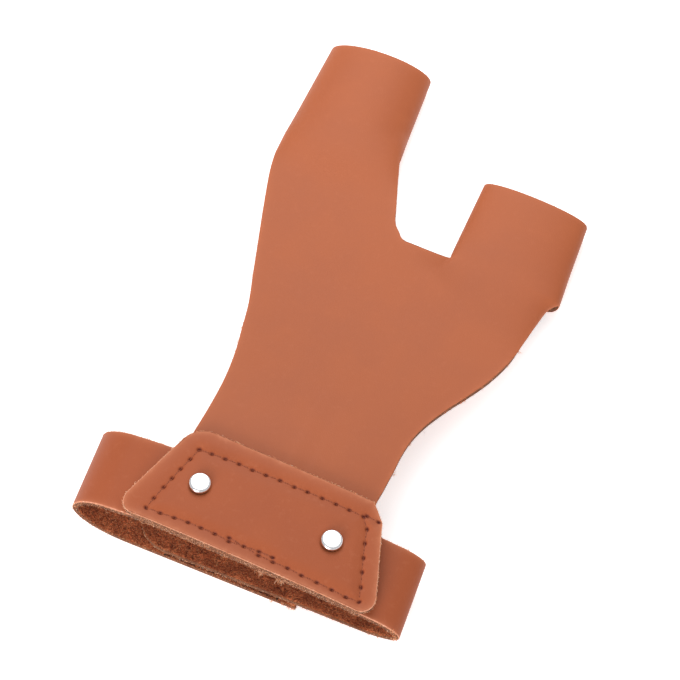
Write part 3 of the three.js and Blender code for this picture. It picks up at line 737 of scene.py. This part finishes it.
# The outer strap half.
# A 23 mm strip of brown leather, riveted under the patch on the left, folded at the left end
# and laid along the table as the lower layer of the closure.
LOOP_HALF_TURNS = 40
STRAP_SKEW = 0.08
STRAP_END_RADIUS = 6
STRAP_END_ROWS = 18
FASTENER_LAP = 42
PATCH_MIDDLE = 4.4
RIVET_SPACING = 38.6
LEFT_RIVET_X = PATCH_MIDDLE - RIVET_SPACING / 2
RIGHT_RIVET_X = PATCH_MIDDLE + RIVET_SPACING / 2
LEFT_STRAP_TAIL = 14.8
LEFT_FOLD_START = -0.773 * LOOP_HALF
LEFT_FOLD_END = -0.67 * LOOP_HALF
STRAP_STATIONS = 220
STRAP_COLUMNS = 28
INNER_STRAP_TAIL = 7.2
LAP_START = LAP_MIDDLE - FASTENER_LAP / 2 - INNER_STRAP_TAIL
# No nap below this height where the other layer lies on it, and a pale corner only above that one
LAP_COVERS = 3
PALE_ABOVE = 8

strap_grain = grain_leather("strap_grain", tone(158, 80, 46), tone(154, 77, 43), tone(200, 126, 92))


def bezier(a, b, c, d, steps):
    """Points of a curve from a towards d, which b and c pull to their side."""
    t = np.linspace(0, 1, steps, endpoint=False)[:, None]
    a, b, c, d = (np.array(point, float) for point in (a, b, c, d))
    return a * (1 - t) ** 3 + 3 * b * t * (1 - t) ** 2 + 3 * c * t * t * (1 - t) + d * t ** 3


def strap_path(hand, start, fold_start, floor_mid, fold_end, end):
    """Middle line of a strap half: under the patch, round the fold and along the table."""
    tip = hand * (LOOP_HALF - LEATHER / 2)
    top = float(crown_mid(fold_start))
    nudge = 0.5
    slope = (top - float(crown_mid(fold_start - hand * nudge))) / nudge
    depth = abs(tip - fold_start)
    lift = (top - floor_mid) / 2
    middle = (tip, floor_mid + lift)
    across = np.linspace(start, fold_start, LOOP_HALF_TURNS, endpoint=False)
    return np.concatenate([
        np.stack([across, crown_mid(across)], axis=1),
        bezier((fold_start, top), (fold_start + hand * depth * 0.5, top + slope * depth * 0.5),
               (tip, middle[1] + lift * 0.5), middle, LOOP_HALF_TURNS),
        bezier(middle, (tip, middle[1] - lift * 0.55), (lerp(tip, fold_end, 0.45), floor_mid),
               (fold_end, floor_mid), LOOP_HALF_TURNS),
        [(fold_end, floor_mid), (end, floor_mid)],
    ])


def corner_inset(distance, radius):
    """How far a rounded corner takes the side in, at that distance from the end."""
    inside = np.clip(radius - distance, 0, radius)
    return radius - math.sqrt(max(radius * radius - inside * inside, 0))


def strap_rows(hand, path, start_radius, end_radius):
    """Rows across the strap, which leans a little as it goes round the loop."""
    reach = np.concatenate([[0], np.cumsum(np.hypot(*np.diff(path, axis=0).T))])
    total = reach[-1]
    zone = max(STRAP_END_RADIUS, start_radius, end_radius)
    ends = zone * np.linspace(0, 1, STRAP_END_ROWS, endpoint=False) ** 2
    run = np.linspace(zone, total - zone, STRAP_STATIONS)
    stations = np.concatenate([ends, run, (total - ends)[::-1]])
    rows = []
    for station in stations:
        x, z = np.interp(station, reach, path[:, 0]), np.interp(station, reach, path[:, 1])
        half = STRAP_HALF - corner_inset(station, start_radius)
        half -= corner_inset(total - station, end_radius)
        y = -hand * np.linspace(-half, half, STRAP_COLUMNS + 1)
        rows.append(np.stack([x - STRAP_SKEW * y, y, np.full_like(y, z)], axis=1))
    return rows


def stays_inside(tips, hand, path):
    """Whether each fibre's tip stays inside the loop, so that none comes out through a fold."""
    x, z = tips[:, 0] + STRAP_SKEW * tips[:, 1], tips[:, 2]
    nearest = np.hypot(x[:, None] - path[:, 0], z[:, None] - path[:, 1]).argmin(axis=1)
    run_x, run_z = np.gradient(path, axis=0)[nearest].T
    from_x, from_z = x - path[nearest, 0], z - path[nearest, 1]
    inward = hand * (run_z * from_x - run_x * from_z) / np.hypot(run_x, run_z)
    return inward > 0


def new_strap(name, node, hand, path, start_radius, end_radius, clumps, seed):
    """A strap half with its nap, the fuzz of its rims as far as they show, and its clumps of fibres."""
    dice = np.random.default_rng(seed)
    bm = bmesh.new()
    lay_sheet(bm, strap_rows(hand, path, start_radius, end_radius))
    mark_edges(bm, WEAR_REACH)
    nap = nap_fibres(bm, per_square=1.2, length=2, dice=dice,
                     keep=lambda x, y, z: z > LAP_COVERS or x < LAP_START)
    on_strap = np.abs(nap[1][:, 1]) < STRAP_HALF + 0.1
    kept = on_strap & stays_inside(nap[1], hand, path)
    nap = [column[kept] for column in nap]
    rim_fuzz = fuzz(free_edges(bm), per_mm=6, length=0.5, dice=dice)
    height = rim_fuzz[0][:, 2] - path[-1][1]
    shown = (height > LEATHER / 2) | (height * hand < 0)
    rim = join_strands([column[shown] for column in rim_fuzz], *[clump(*spot, dice) for spot in clumps])
    thicken(bm, is_pale=lambda middle: middle.z > PALE_ABOVE)
    strap = new_piece(name, bm, [strap_grain, suede, cut_edge, pale_arris])
    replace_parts(strap, node)
    tones = np.concatenate([dice.beta(0.8, 1.1, len(nap[0])), dice.uniform(0.4, 1, len(rim[0]))])
    fibres = join_strands(nap, rim)
    lay_strands(name + "_fibres", loose_fibre, fibres, radius=0.1, tones=tones)


# Where fibres hang from its raw end: the spot, the way out and the length
LOWER_CLUMPS = [
    ((18.4, -11.4, 1), (0.5, -0.6, 0.3), 0.9), ((17, -11.5, 0.9), (0.1, -0.9, 0.4), 0.9),
    ((15.4, -11.5, 1.2), (0, -0.8, 0.5), 0.7), ((12, -11.5, 0.9), (-0.1, -0.9, 0.1), 0.8),
    ((18.6, -9, 1.4), (0.7, 0, 0.5), 0.7), ((18.6, -6, 1.4), (0.7, 0, 0.5), 0.7),
]
lower_path = strap_path(-1, LEFT_RIVET_X + LEFT_STRAP_TAIL, LEFT_FOLD_START, FLOOR_MID, LEFT_FOLD_END,
                        LAP_MIDDLE + FASTENER_LAP / 2)
new_strap("strap_lower", "strap_outer", -1, lower_path, start_radius=0, end_radius=0,
          clumps=LOWER_CLUMPS, seed=11)

# The inner strap half.
# The matching strip from the right, folded at the right end and laid over the lower layer.
# Its far end is cut to a wide round.
RIGHT_STRAP_TAIL = 8
RIGHT_FOLD_START = 0.845 * LOOP_HALF
RIGHT_FOLD_END = 0.76 * LOOP_HALF
INNER_STRAP_MID = 4.3
INNER_STRAP_RADIUS = 10
# Where fibres stand out of its rounded corner and its fold
UPPER_CLUMPS = [
    ((13.2, -10.6, 16.4), (-0.7, -0.5, 0), 0.8), ((11.8, -8.6, 16.6), (-0.8, -0.3, 0), 0.8),
    ((47.4, -11.5, 12), (0.1, -0.8, 0.3), 0.8), ((48.2, -11.5, 9.5), (0.2, -0.8, 0.1), 0.9),
    ((48, -11.5, 7.6), (0.3, -0.8, -0.2), 0.8),
]
upper_path = strap_path(1, RIGHT_RIVET_X - RIGHT_STRAP_TAIL, RIGHT_FOLD_START, INNER_STRAP_MID,
                        RIGHT_FOLD_END, LAP_START)
new_strap("strap_upper", "strap_inner", 1, upper_path, start_radius=STRAP_END_RADIUS,
          end_radius=INNER_STRAP_RADIUS, clumps=UPPER_CLUMPS, seed=12)

# The fastener tape.
# A pad of black woven hook-and-loop tape with rounded corners, sewn between the two strap layers,
# with its soft loops standing up round the rim. At the front the loops reach out into the gap between
# the layers, as black strands that stand in for the shade in that gap.
TAPE_LENGTH = 33
TAPE_WIDTH = 17
TAPE_THICKNESS = 1
TAPE_BOTTOM = 2.1
TAPE_RADIUS = 2
TAPE_RIM = 0.15
TAPE_LOOPS = 2400
LOOP_REACH = 0.5
# How far the front loops reach: to the layers' front edge, as black strands that stand in for the shade in
# the gap
GAP_SHADE_REACH = 3.4
# Share of the front reach that the loops have at the tape's middle, and what they gain over its length
FRONT_SHARE = 0.84
FRONT_GAIN = 0.28

tape_weave, tree = new_tree("tape_weave")
tape_place = object_place(tree)
weave = combine(tree, "MULTIPLY", wave(tree, tape_place, 620.0, "X"), wave(tree, tape_place, 620.0, "Y"))
tape_colour = mix(tree, weave, tone(12, 10, 10), tone(52, 46, 44))
finish_surface(tree, tape_colour, 0.9, weave, 0.6, 0.0003, Specular_IOR_Level=0.2)

tape = bmesh.new()
bmesh.ops.create_cube(tape, size=1)
bmesh.ops.scale(tape, vec=(TAPE_LENGTH, TAPE_WIDTH, TAPE_THICKNESS), verts=tape.verts)
upright = [edge for edge in tape.edges if abs(edge.verts[0].co.z - edge.verts[1].co.z) > 0.5]
bevel(tape, upright, TAPE_RADIUS, segments=8)
rim = [edge for edge in tape.edges if abs(edge.verts[0].co.z - edge.verts[1].co.z) < 0.5]
bevel(tape, rim, TAPE_RIM, segments=2)
bmesh.ops.translate(tape, vec=(LAP_MIDDLE, 0, TAPE_BOTTOM + TAPE_THICKNESS / 2), verts=tape.verts)
tape_piece = new_piece("fastener_tape", tape, [tape_weave])
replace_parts(tape_piece, "fastener_pad")

dice = np.random.default_rng(21)
level = np.zeros(TAPE_LOOPS)
angle = dice.uniform(0, 2 * math.pi, TAPE_LOOPS)
from_middle = np.clip(np.cos(angle) * TAPE_LENGTH, -TAPE_LENGTH / 2, TAPE_LENGTH / 2)
edge_y = np.clip(np.sin(angle) * TAPE_LENGTH, -TAPE_WIDTH / 2, TAPE_WIDTH / 2)
edge_z = TAPE_BOTTOM + dice.uniform(0.15, 0.85, TAPE_LOOPS) * TAPE_THICKNESS
loop_roots = np.stack([from_middle + LAP_MIDDLE, edge_y, edge_z], axis=1)
at_front = edge_y < 1 - TAPE_WIDTH / 2
out = np.stack([from_middle * np.where(at_front, 0.1, 1), edge_y * 2, level], axis=1)
out /= np.linalg.norm(out, axis=1, keepdims=True)
# The front loops grow long, to fill the shaded gap between the strap layers with black as painted shade
front = at_front * (FRONT_SHARE + FRONT_GAIN * np.abs(from_middle) / TAPE_LENGTH)
loop_reach = lerp(LOOP_REACH, GAP_SHADE_REACH, front) * dice.uniform(0.9, 1, TAPE_LOOPS)
loop_tips = loop_roots + np.cross(out, (0, 0, 1)) * dice.uniform(0.2, 0.5, (TAPE_LOOPS, 1))
rise = np.stack([level, level, dice.uniform(-0.32, 0.2, TAPE_LOOPS)], axis=1)
loops = (loop_roots, loop_tips, out * loop_reach[:, None] + rise)
lay_strands("fastener_loops", tape_weave, loops, radius=0.07, tones=level,
            taper=1, cuts=4)

# The wrist patch.
# A trapezoid of brown leather over the neck, with rounded lower corners and one clipped corner.
# It is sewn on with dark thread, which pulls it down along the stitch line and leaves a raised margin.
PATCH_TOP_WIDTH = 55.2
PATCH_BOTTOM_WIDTH = 76.4
PATCH_HEIGHT = 30.8
PATCH_OVERHANG = 12.6
PATCH_LOWER_RADIUS = 6
PATCH_UPPER_RADIUS = 5
PATCH_CLIP = 4.6
CLIP_SLOPE = 0.6
PATCH_COLUMNS = 230
PATCH_ROWS = 60
LOWER_CORNER_ROWS = 24
UPPER_CORNER_ROWS = 20
PATCH_WEAR_REACH = 4
RIVET_Y = 2.4
RIVET_CAP_RADIUS = 3

# Needle holes from the upper left corner round the patch, the stitches where the seam was run back
# over itself, and the last stitch past the clipped corner
SEAM = [
    (-19.6, 12), (-16, 12.2), (-12.1, 12.4), (-8.1, 12.6), (-4.1, 12.5), (-0.2, 12.7), (3.9, 12.9),
    (8.1, 12.8), (11.9, 13), (16.2, 13.05), (20.2, 13.1), (24.1, 13.1), (28.3, 13),
    (30.6, 10.1), (31.7, 6.1), (33, 2.1), (34.3, -1.8), (35.7, -5.9),
    (36.9, -9.9), (33.2, -10.3), (29.1, -10.1), (24.7, -9.95), (20.3, -9.9), (16.1, -9.6), (11.9, -9.7),
    (7.7, -9.6), (3.1, -8.9), (-1.1, -9.3), (-5.4, -8.9), (-9.4, -8.9), (-13.2, -8.9), (-17.1, -9.2),
    (-21.1, -9.5), (-25.2, -9.6), (-24.5, -6.1), (-23.5, -2.1), (-22.6, 1.2), (-21.7, 4.7), (-20.6, 8.4),
]
BACK_TACK = [(-1.4, -8.3), (3.1, -8.9), (7.4, -8.5), (11.3, -8.5)]
LAST_STITCH = [(29.1, 13.6), (32.5, 13.4)]
HOLE_LENGTH = 0.66
HOLE_WIDTH = 0.46
HOLE_DEPTH = 0.5
GROOVE_DEPTH = 0.12
GROOVE_WIDTH = 0.42
PULL_DEPTH = 0.34
PULL_WIDTH = 1.9
# The dent round each rivet cap
DENT_DEPTH = 0.22
DENT_WIDTH = 0.8
DENT_RADIUS = 0.85 * RIVET_CAP_RADIUS

# The needle holes in its grain are painted dark, as the shade in them
patch_grain = grain_leather(
    "patch_grain", tone(158, 80, 45), tone(154, 77, 43), tone(208, 136, 102), pressed="stitch_hole")


def patch_mid(x, y):
    return panel_mid(x, y) + LEATHER + PLAY


def patch_row(share):
    """One row of the patch, at that share of its height, with its corners taken in."""
    y = lerp(-PATCH_OVERHANG, PATCH_HEIGHT - PATCH_OVERHANG, share)
    half = lerp(PATCH_BOTTOM_WIDTH, PATCH_TOP_WIDTH, share) / 2
    from_top = (1 - share) * PATCH_HEIGHT
    lower = corner_inset(share * PATCH_HEIGHT, PATCH_LOWER_RADIUS)
    upper = corner_inset(from_top, PATCH_UPPER_RADIUS)
    clip = max(0, PATCH_CLIP - from_top) * CLIP_SLOPE
    left, right = PATCH_MIDDLE - half + lower + upper, PATCH_MIDDLE + half - lower - clip
    x = np.linspace(left, right, PATCH_COLUMNS + 1)
    return np.stack([x, np.full_like(x, y), patch_mid(x, y)], axis=1)


seam_lines = [np.array(line, float) for line in (SEAM + SEAM[:1], BACK_TACK, LAST_STITCH)]
holes = np.concatenate(seam_lines)
hole_ways = np.concatenate([np.gradient(line, axis=0) for line in seam_lines])
hole_ways /= np.linalg.norm(hole_ways, axis=1, keepdims=True)


def gap_to_seam(x, y):
    """Distance to the nearest stitch."""
    point = np.array((x, y))
    nearest = np.inf
    for line in seam_lines:
        start, way = line[:-1], line[1:] - line[:-1]
        share = np.clip(((point - start) * way).sum(axis=1) / (way * way).sum(axis=1), 0, 1)
        nearest = min(nearest, np.hypot(*(point - start - way * share[:, None]).T).min())
    return nearest


def hole_strength(x, y):
    """1 in the middle of a needle hole, which is longer along the seam than across it."""
    away = np.array((x, y)) - holes
    along = (away * hole_ways).sum(axis=1)
    across = away[:, 0] * hole_ways[:, 1] - away[:, 1] * hole_ways[:, 0]
    return math.exp(-((along / HOLE_LENGTH) ** 2 + (across / HOLE_WIDTH) ** 2).min())


def seam_sink(x, y):
    """How far the grain side is pulled down by the thread and pressed in by the rivet caps."""
    gap = gap_to_seam(x, y)
    groove = GROOVE_DEPTH * math.exp(-(gap / GROOVE_WIDTH) ** 2)
    pull = PULL_DEPTH * math.exp(-(gap / PULL_WIDTH) ** 2)
    cap = min(math.hypot(x - rivet_x, y - RIVET_Y) for rivet_x in (LEFT_RIVET_X, RIGHT_RIVET_X))
    return groove + pull + DENT_DEPTH * math.exp(-((cap - DENT_RADIUS) / DENT_WIDTH) ** 2)


lower_zone = PATCH_LOWER_RADIUS / PATCH_HEIGHT
upper_zone = PATCH_UPPER_RADIUS / PATCH_HEIGHT
patch_shares = np.concatenate([
    lower_zone * np.linspace(0, 1, LOWER_CORNER_ROWS, endpoint=False) ** BUNCHING,
    np.linspace(lower_zone, 1 - upper_zone, PATCH_ROWS, endpoint=False),
    1 - upper_zone * np.linspace(1, 0, UPPER_CORNER_ROWS) ** BUNCHING,
])

patch_bm = bmesh.new()
lay_sheet(patch_bm, [patch_row(share) for share in patch_shares])
mark_edges(patch_bm, PATCH_WEAR_REACH)
hole_layer = patch_bm.verts.layers.float.new("stitch_hole")
for vert in patch_bm.verts:
    vert[hole_layer] = hole_strength(vert.co.x, vert.co.y)
dice = np.random.default_rng(5)
patch_fuzz = fuzz(free_edges(patch_bm), per_mm=10, length=0.5, dice=dice)
thicken(patch_bm, lambda vert: seam_sink(vert.co.x, vert.co.y) + HOLE_DEPTH * vert[hole_layer])
patch = new_piece("patch", patch_bm, [patch_grain, suede, cut_edge, pale_arris])
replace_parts(patch, "wrist_patch")
fuzz_tones = dice.uniform(0.5, 1, len(patch_fuzz[0]))
lay_strands("patch_fuzz", loose_fibre, patch_fuzz, radius=0.06, tones=fuzz_tones)

# The thread.
# Dark red-brown sewing thread, one cord laid from hole to hole round the patch.
# Each stitch dips into its holes at both ends and lies in the pressed groove between them.
STITCH_DIP = 0.5
STITCH_BOW = 0.52


def on_patch(points, dip):
    """Points of the pressed grain side, and dip below it."""
    x, y = points.T
    sunk = dip + np.array([seam_sink(*point) for point in points])
    return np.stack([x, y, patch_mid(x, y) + LEATHER / 2 - sunk], axis=1)


stitch_starts = np.concatenate([line[:-1] for line in seam_lines])
stitch_ends = np.concatenate([line[1:] for line in seam_lines])
thread_bows = np.tile((0, 0, STITCH_BOW), (len(stitch_starts), 1))
stitches = (on_patch(stitch_starts, STITCH_DIP), on_patch(stitch_ends, STITCH_DIP), thread_bows)
lay_strands("patch_stitches", thread_ply, stitches, THREAD_RADIUS, np.zeros(len(stitch_starts)),
            taper=1, sides=8, cuts=7)

# The rivets.
# Bright plated cap rivets through patch, neck and strap, each turned as one round: a low cap with
# rounded sides, a shank, and a flat cap at the back.
RIVET_CAP_HEIGHT = 1.3
RIVET_CAP_ROUNDING = 0.75
RIVET_SEAT = 0.02
RIVET_SHANK_RADIUS = 1.5
RIVET_BACK_RADIUS = 2.8
RIVET_BACK_HEIGHT = 0.6
RIVET_BACK_ROUNDING = 0.3
DOME_RADIUS = 2.2
DOME_HEIGHT = 0.04
STACK = 3 * LEATHER + 2 * PLAY
RIVET_SIDES = 64
# How far up the cap's side the painted shade at its base fades out
BASE_SHADE_HEIGHT = 0.55

rivet_chrome, tree = new_tree("rivet_chrome")
rivet_place = object_place(tree)
rubbed = noise(tree, rivet_place, 700.0, Detail=4.0)
scratches = noise(tree, rivet_place, 4200.0, Detail=2.0, Distortion=4.0)
bright = mix(tree, rubbed, tone(240, 240, 242), tone(228, 228, 232))
# Painted shade and reflection: the cap is darkened towards its base, where it meets the leather
rivet_colour = mix(tree, painted(tree, "painted_base_shade"), bright, tone(46, 38, 40))
dulled = remap(tree, rubbed, to_low=0.1, to_high=0.26)
finish_surface(tree, rivet_colour, dulled, scratches, 0.05, 0.00005, Metallic=1.0)


def rounded_side(radius, bottom, top, rounding):
    """Side of a cap that turns over into its top, as radius and height."""
    side = [(radius, lerp(bottom, top - rounding, share)) for share in (0, 0.25, 0.5, 0.75)]
    for turn in np.linspace(0, math.pi / 2, 9):
        side.append((radius - rounding * (1 - math.cos(turn)), top - rounding * (1 - math.sin(turn))))
    return side


def rivet_profile():
    """Half of the rivet's section, from the back cap's middle to the top of its dome."""
    back = -STACK - PLAY
    cap_top = PLAY + RIVET_CAP_HEIGHT
    back_side = rounded_side(RIVET_BACK_RADIUS, -back, -back + RIVET_BACK_HEIGHT, RIVET_BACK_ROUNDING)
    cap_side = rounded_side(RIVET_CAP_RADIUS, RIVET_SEAT, cap_top, RIVET_CAP_ROUNDING)
    rings = (1.9, 1.5, 1.1, 0.7, 0.35, 0)
    dome = [(r, cap_top + DOME_HEIGHT * (1 - (r / DOME_RADIUS) ** 2)) for r in rings]
    lower = [(0, back - RIVET_BACK_HEIGHT)] + [(r, -h) for r, h in reversed(back_side)]
    return lower + [(RIVET_SHANK_RADIUS, back), (RIVET_SHANK_RADIUS, RIVET_SEAT)] + cap_side + dome


for name, node, x in (
    ("rivet_cap_left", "rivet_left", LEFT_RIVET_X), ("rivet_cap_right", "rivet_right", RIGHT_RIVET_X),
):
    bm = bmesh.new()
    ring = [bm.verts.new((radius, 0, height)) for radius, height in rivet_profile()]
    for first, second in zip(ring, ring[1:]):
        bm.edges.new((first, second))
    bmesh.ops.spin(bm, geom=bm.verts[:] + bm.edges[:], cent=(0, 0, 0), axis=(0, 0, 1), angle=2 * math.pi,
                   steps=RIVET_SIDES, use_merge=True)
    bmesh.ops.remove_doubles(bm, verts=bm.verts, dist=0.001)
    bmesh.ops.recalc_face_normals(bm, faces=bm.faces)
    # Painted shade: strong at the cap's base and fading out up its side
    base_shade = bm.verts.layers.float.new("painted_base_shade")
    for vert in bm.verts:
        vert[base_shade] = float(smooth(1 - vert.co.z / BASE_SHADE_HEIGHT))
    slope = float(patch_mid(x + 1, RIVET_Y) - patch_mid(x - 1, RIVET_Y)) / 2
    tilt = Matrix.Rotation(-math.atan(slope), 4, "Y")
    spot = Matrix.Translation((x, RIVET_Y, float(patch_mid(x, RIVET_Y)) + LEATHER / 2))
    bmesh.ops.transform(bm, matrix=spot @ tilt, verts=bm.verts)
    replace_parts(new_piece(name, bm, [rivet_chrome]), node)

# The stage.
# A plain white floor under soft light, with the camera above the wrist end, 60 degrees up.
# None of it is part of the glove.
floor_bm = bmesh.new()
bmesh.ops.create_grid(floor_bm, x_segments=1, y_segments=1, size=3)
floor_mesh = bpy.data.meshes.new("floor")
floor_bm.to_mesh(floor_mesh)
floor_bm.free()
floor = add_object("floor", floor_mesh)
floor_finish = bpy.data.materials.new("floor_finish")
floor_finish.use_nodes = True
paint = floor_finish.node_tree.nodes["Principled BSDF"].inputs
paint["Base Color"].default_value = (0.93, 0.93, 0.93, 1)
paint["Roughness"].default_value = 0.9
paint["Emission Color"].default_value = (1, 1, 1, 1)
paint["Emission Strength"].default_value = 0.5
floor_mesh.materials.append(floor_finish)

ELEVATION = math.radians(60)
AZIMUTH = math.radians(23.61)
CAMERA_DISTANCE = 0.8
CAMERA_LENS = 147.97
LOOK_AT = ORIGIN + Vector((-3.8, 70.9, 0)) * MM
back = Vector((
    math.sin(AZIMUTH) * math.cos(ELEVATION),
    -math.cos(AZIMUTH) * math.cos(ELEVATION),
    math.sin(ELEVATION),
))
camera_data = bpy.data.cameras.new("camera")
camera_data.sensor_width = 36
camera_data.lens = CAMERA_LENS
camera_data.clip_start = 0.05
camera_data.clip_end = 20
camera = add_object("camera", camera_data)
camera.location = LOOK_AT + back * CAMERA_DISTANCE
camera.rotation_euler = back.to_track_quat("Z", "Y").to_euler()
bpy.context.scene.camera = camera


def soft_light(name, place, size, power):
    """A square softbox that faces the middle of the glove."""
    data = bpy.data.lights.new(name, "AREA")
    data.size = size
    data.energy = power
    light = add_object(name, data)
    light.location = place
    light.rotation_euler = (Vector(place) - LOOK_AT).to_track_quat("Z", "Y").to_euler()


soft_light("front light", (-0.08, -0.72, 0.24), 0.45, 4.6)
soft_light("finger light", (-0.11, 0.22, 0.3), 0.28, 0.8)
soft_light("top light", (-0.03, 0.22, 0.56), 0.45, 0.7)

world = bpy.data.worlds.new("studio")
bpy.context.scene.world = world
world.use_nodes = True
glow = world.node_tree.nodes["Background"].inputs
glow["Color"].default_value = (1, 1, 1, 1)
glow["Strength"].default_value = 0.65
bpy.context.scene.view_settings.view_transform = "Standard"
